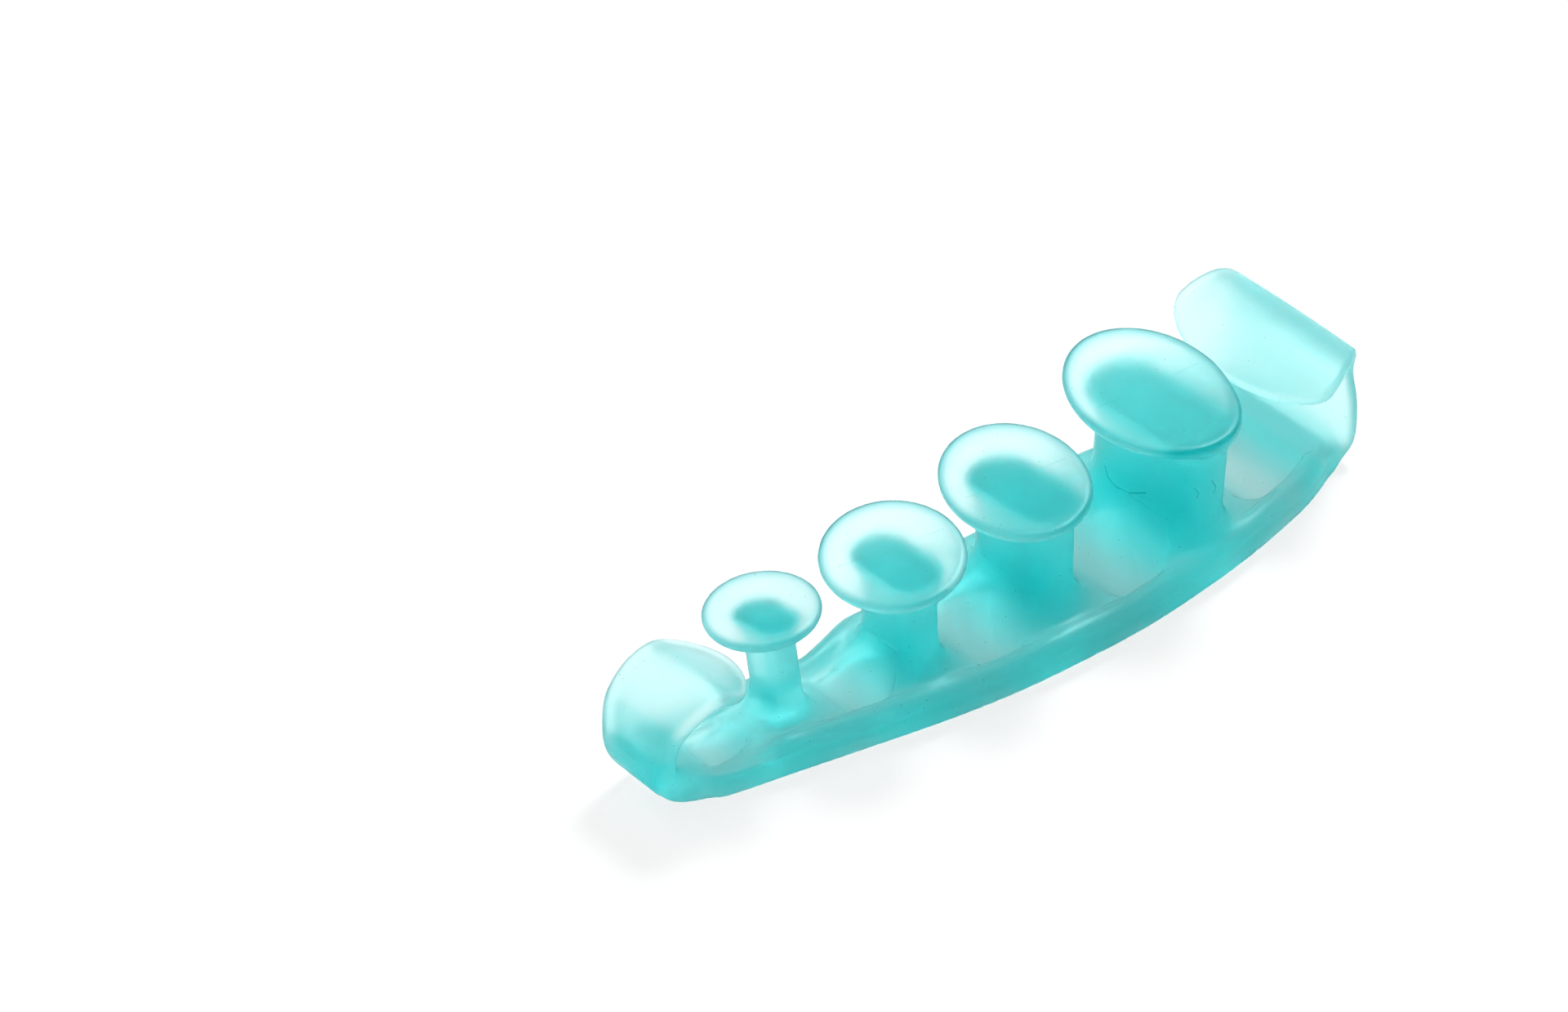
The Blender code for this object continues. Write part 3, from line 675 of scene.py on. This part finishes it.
clear = linear("#ffffff")  # the gel itself is clear; its colour comes from the inside
colour = tinted(clear, "#4fc6ca", painted_rim_shade, 0.7)  # painted shade: a deeper turquoise round the rim of each head, for the longer light path there
colour = tinted(colour, "#16777f", threads, 0.7)  # dark hair lines
colour = tinted(colour, "#7fd6da", parting, 0.6)  # faint lines over the heads
colour = tinted(colour, "#0e6f78", specks, 0.8)  # pin-point dust
GRAIN_SIZE, GRAIN_DEPTH = 0.35, 0.006  # blasted mould: a fine tooth, felt more than seen
PEEL_SIZE, PEEL_DEPTH = 3.0, 0.05  # orange peel: slow waves that unsettle the highlights
SATIN = (0.38, 0.50)  # soft sheen, a little duller in places
grain = add(tree, "ShaderNodeTexNoise", {"Vector": where}, Scale=per_metre(GRAIN_SIZE), Detail=0.0)
peel = add(tree, "ShaderNodeTexNoise", {"Vector": where}, Scale=per_metre(PEEL_SIZE), Detail=0.0)
satin = add(
    tree, "ShaderNodeMapRange", {"Value": peel.outputs["Fac"]}, To_Min=SATIN[0], To_Max=SATIN[1]
)


def relief(height, depth, below=None):
    """Bump of a depth in mm, laid over the bump below it."""
    links = {"Height": height}
    if below is not None:
        links["Normal"] = below
    return add(tree, "ShaderNodeBump", links, Strength=1.0, Distance=depth * MM).outputs["Normal"]


skin = relief(grain.outputs["Fac"], GRAIN_DEPTH)
skin = relief(peel.outputs["Fac"], PEEL_DEPTH, skin)
surface = add(
    tree, "ShaderNodeBsdfPrincipled",
    {"Base Color": colour, "Roughness": satin.outputs["Result"], "Normal": skin},
    IOR=1.40, Transmission_Weight=1.0, Specular_Tint=(0.5, 0.92, 0.92, 1),
)
add(
    tree, "ShaderNodeOutputMaterial",
    {"Surface": surface.outputs[0], "Volume": inside.outputs[0]},
)
mesh.materials.append(gel)
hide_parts("toe_separator")
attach(body, "root")

# %% [markdown]
# ## The studio
#
# A product like this is shot on a white table in a white tent, so that light also comes back
# through the gel from below.  The world is that tent, darker behind the camera, so that the
# faces turned to us reflect less white and look deeper.  A wide soft lamp hangs overhead, and a
# small one at the back right is set for the pale highlight along the top of the lip, which comes
# out weak on so dull a skin.  The paper glows a little for the camera and behind the gel, which
# keeps the ground white without more light on the object.

# %% Table
FLOOR_GAP = 0.1 * MM
floor_mesh = bpy.data.meshes.new("studio_floor")
FLOOR_RADIUS = 1.5
ring = [
    (FLOOR_RADIUS * cos(radians(a)), FLOOR_RADIUS * sin(radians(a)), -FLOOR_GAP)
    for a in range(0, 360, 10)
]
floor_mesh.from_pydata(ring, [], [list(range(len(ring)))])
floor_mesh.update()
floor = bpy.data.objects.new("studio_floor", floor_mesh)
bpy.context.scene.collection.objects.link(floor)
paper = bpy.data.materials.new("white_paper_matt")
paper.use_nodes = True
paper.node_tree.nodes.clear()
sheet = paper.node_tree
white = add(sheet, "ShaderNodeBsdfPrincipled", Base_Color=linear("#f6f6f6"), Roughness=0.9)
glow = add(sheet, "ShaderNodeEmission", Color=(1, 1, 1, 1), Strength=1.0)
CAMERA_GLOW, GEL_GLOW = 0.8, 0.3  # shares of glow seen by the camera and through the gel
path = add(sheet, "ShaderNodeLightPath")
through = add(
    sheet, "ShaderNodeMath", {0: path.outputs["Is Transmission Ray"]},
    operation="MULTIPLY", _1=GEL_GLOW,
)
share = add(
    sheet, "ShaderNodeMath", {0: path.outputs["Is Camera Ray"], 2: through.outputs[0]},
    operation="MULTIPLY_ADD", _1=CAMERA_GLOW,
)
table = add(
    sheet, "ShaderNodeMixShader",
    {0: share.outputs[0], 1: white.outputs[0], 2: glow.outputs[0]},
)
add(sheet, "ShaderNodeOutputMaterial", {"Surface": table.outputs[0]})
floor_mesh.materials.append(paper)

# %% Light
world = bpy.data.worlds.new("white_tent")
bpy.context.scene.world = world
world.use_nodes = True
DARK_SIDE = (-0.75, -0.6, -0.1)
BRIGHT, DIM = 0.46, 0.1
tent = world.node_tree
sky = tent.nodes["Background"]
sky.inputs["Color"].default_value = linear("#ffffff")
toward = add(
    tent, "ShaderNodeVectorMath", {0: add(tent, "ShaderNodeTexCoord").outputs["Generated"]},
    operation="DOT_PRODUCT", _1=DARK_SIDE,
)
shade = add(
    tent, "ShaderNodeMapRange", {"Value": toward.outputs["Value"]},
    From_Min=-0.8, From_Max=0.9, To_Min=BRIGHT, To_Max=DIM,
)
tent.links.new(shade.outputs["Result"], sky.inputs["Strength"])


def soft_lamp(name, place, aim, size, power):
    """A round area lamp: places and size in metres, power in watts."""
    lamp = bpy.data.lights.new(name, "AREA")
    lamp.shape, lamp.size, lamp.energy = "DISK", size, power
    holder = bpy.data.objects.new(name, lamp)
    bpy.context.scene.collection.objects.link(holder)
    way = (Vector(aim) - Vector(place)).to_track_quat("-Z", "Y")
    holder.matrix_world = Matrix.Translation(place) @ way.to_matrix().to_4x4()


MIDDLE_OF_PART = (0, 0, 0.01)
soft_lamp("overhead_softbox", (-0.3, 0.5, 0.9), MIDDLE_OF_PART, 1.0, 3.2)
soft_lamp("lip_softbox", (0.52, 0.26, 0.82), MIDDLE_OF_PART, 0.3, 11.0)

# %% [markdown]
# ## The camera
#
# Fitted to the photograph, the camera looks down at the part at about 41 degrees, from its
# little-toe side.  The distance of 0.8 m sets how much the far end shrinks, and the focal
# length then sets the size in frame.

# %% Camera
WIDTH, HEIGHT = 1920, 1239
AZIMUTH, ELEVATION, DISTANCE = radians(-42), radians(41), 0.8
FOCAL_PX = 7640
TARGET = Vector((1.72, 4.375, 0.0)) * MM
TARGET_PX = (1200, 720)

back = Vector((sin(AZIMUTH) * cos(ELEVATION), -cos(AZIMUTH) * cos(ELEVATION), sin(ELEVATION)))
right = Vector((cos(AZIMUTH), sin(AZIMUTH), 0))
up = back.cross(right)
u = (TARGET_PX[0] - WIDTH / 2) / FOCAL_PX
v = (HEIGHT / 2 - TARGET_PX[1]) / FOCAL_PX
lens = bpy.data.cameras.new("camera")
lens.sensor_width = 36
lens.lens = FOCAL_PX / WIDTH * lens.sensor_width
lens.clip_start = 0.01
camera = bpy.data.objects.new("camera", lens)
bpy.context.scene.collection.objects.link(camera)
camera.matrix_world = Matrix.Translation(TARGET + DISTANCE * (back - u * right - v * up)) @ Matrix(
    (right, up, back)
).transposed().to_4x4()
bpy.context.scene.camera = camera
bpy.context.scene.view_settings.view_transform = "Standard"
print("lens", round(lens.lens, 2), "mm")
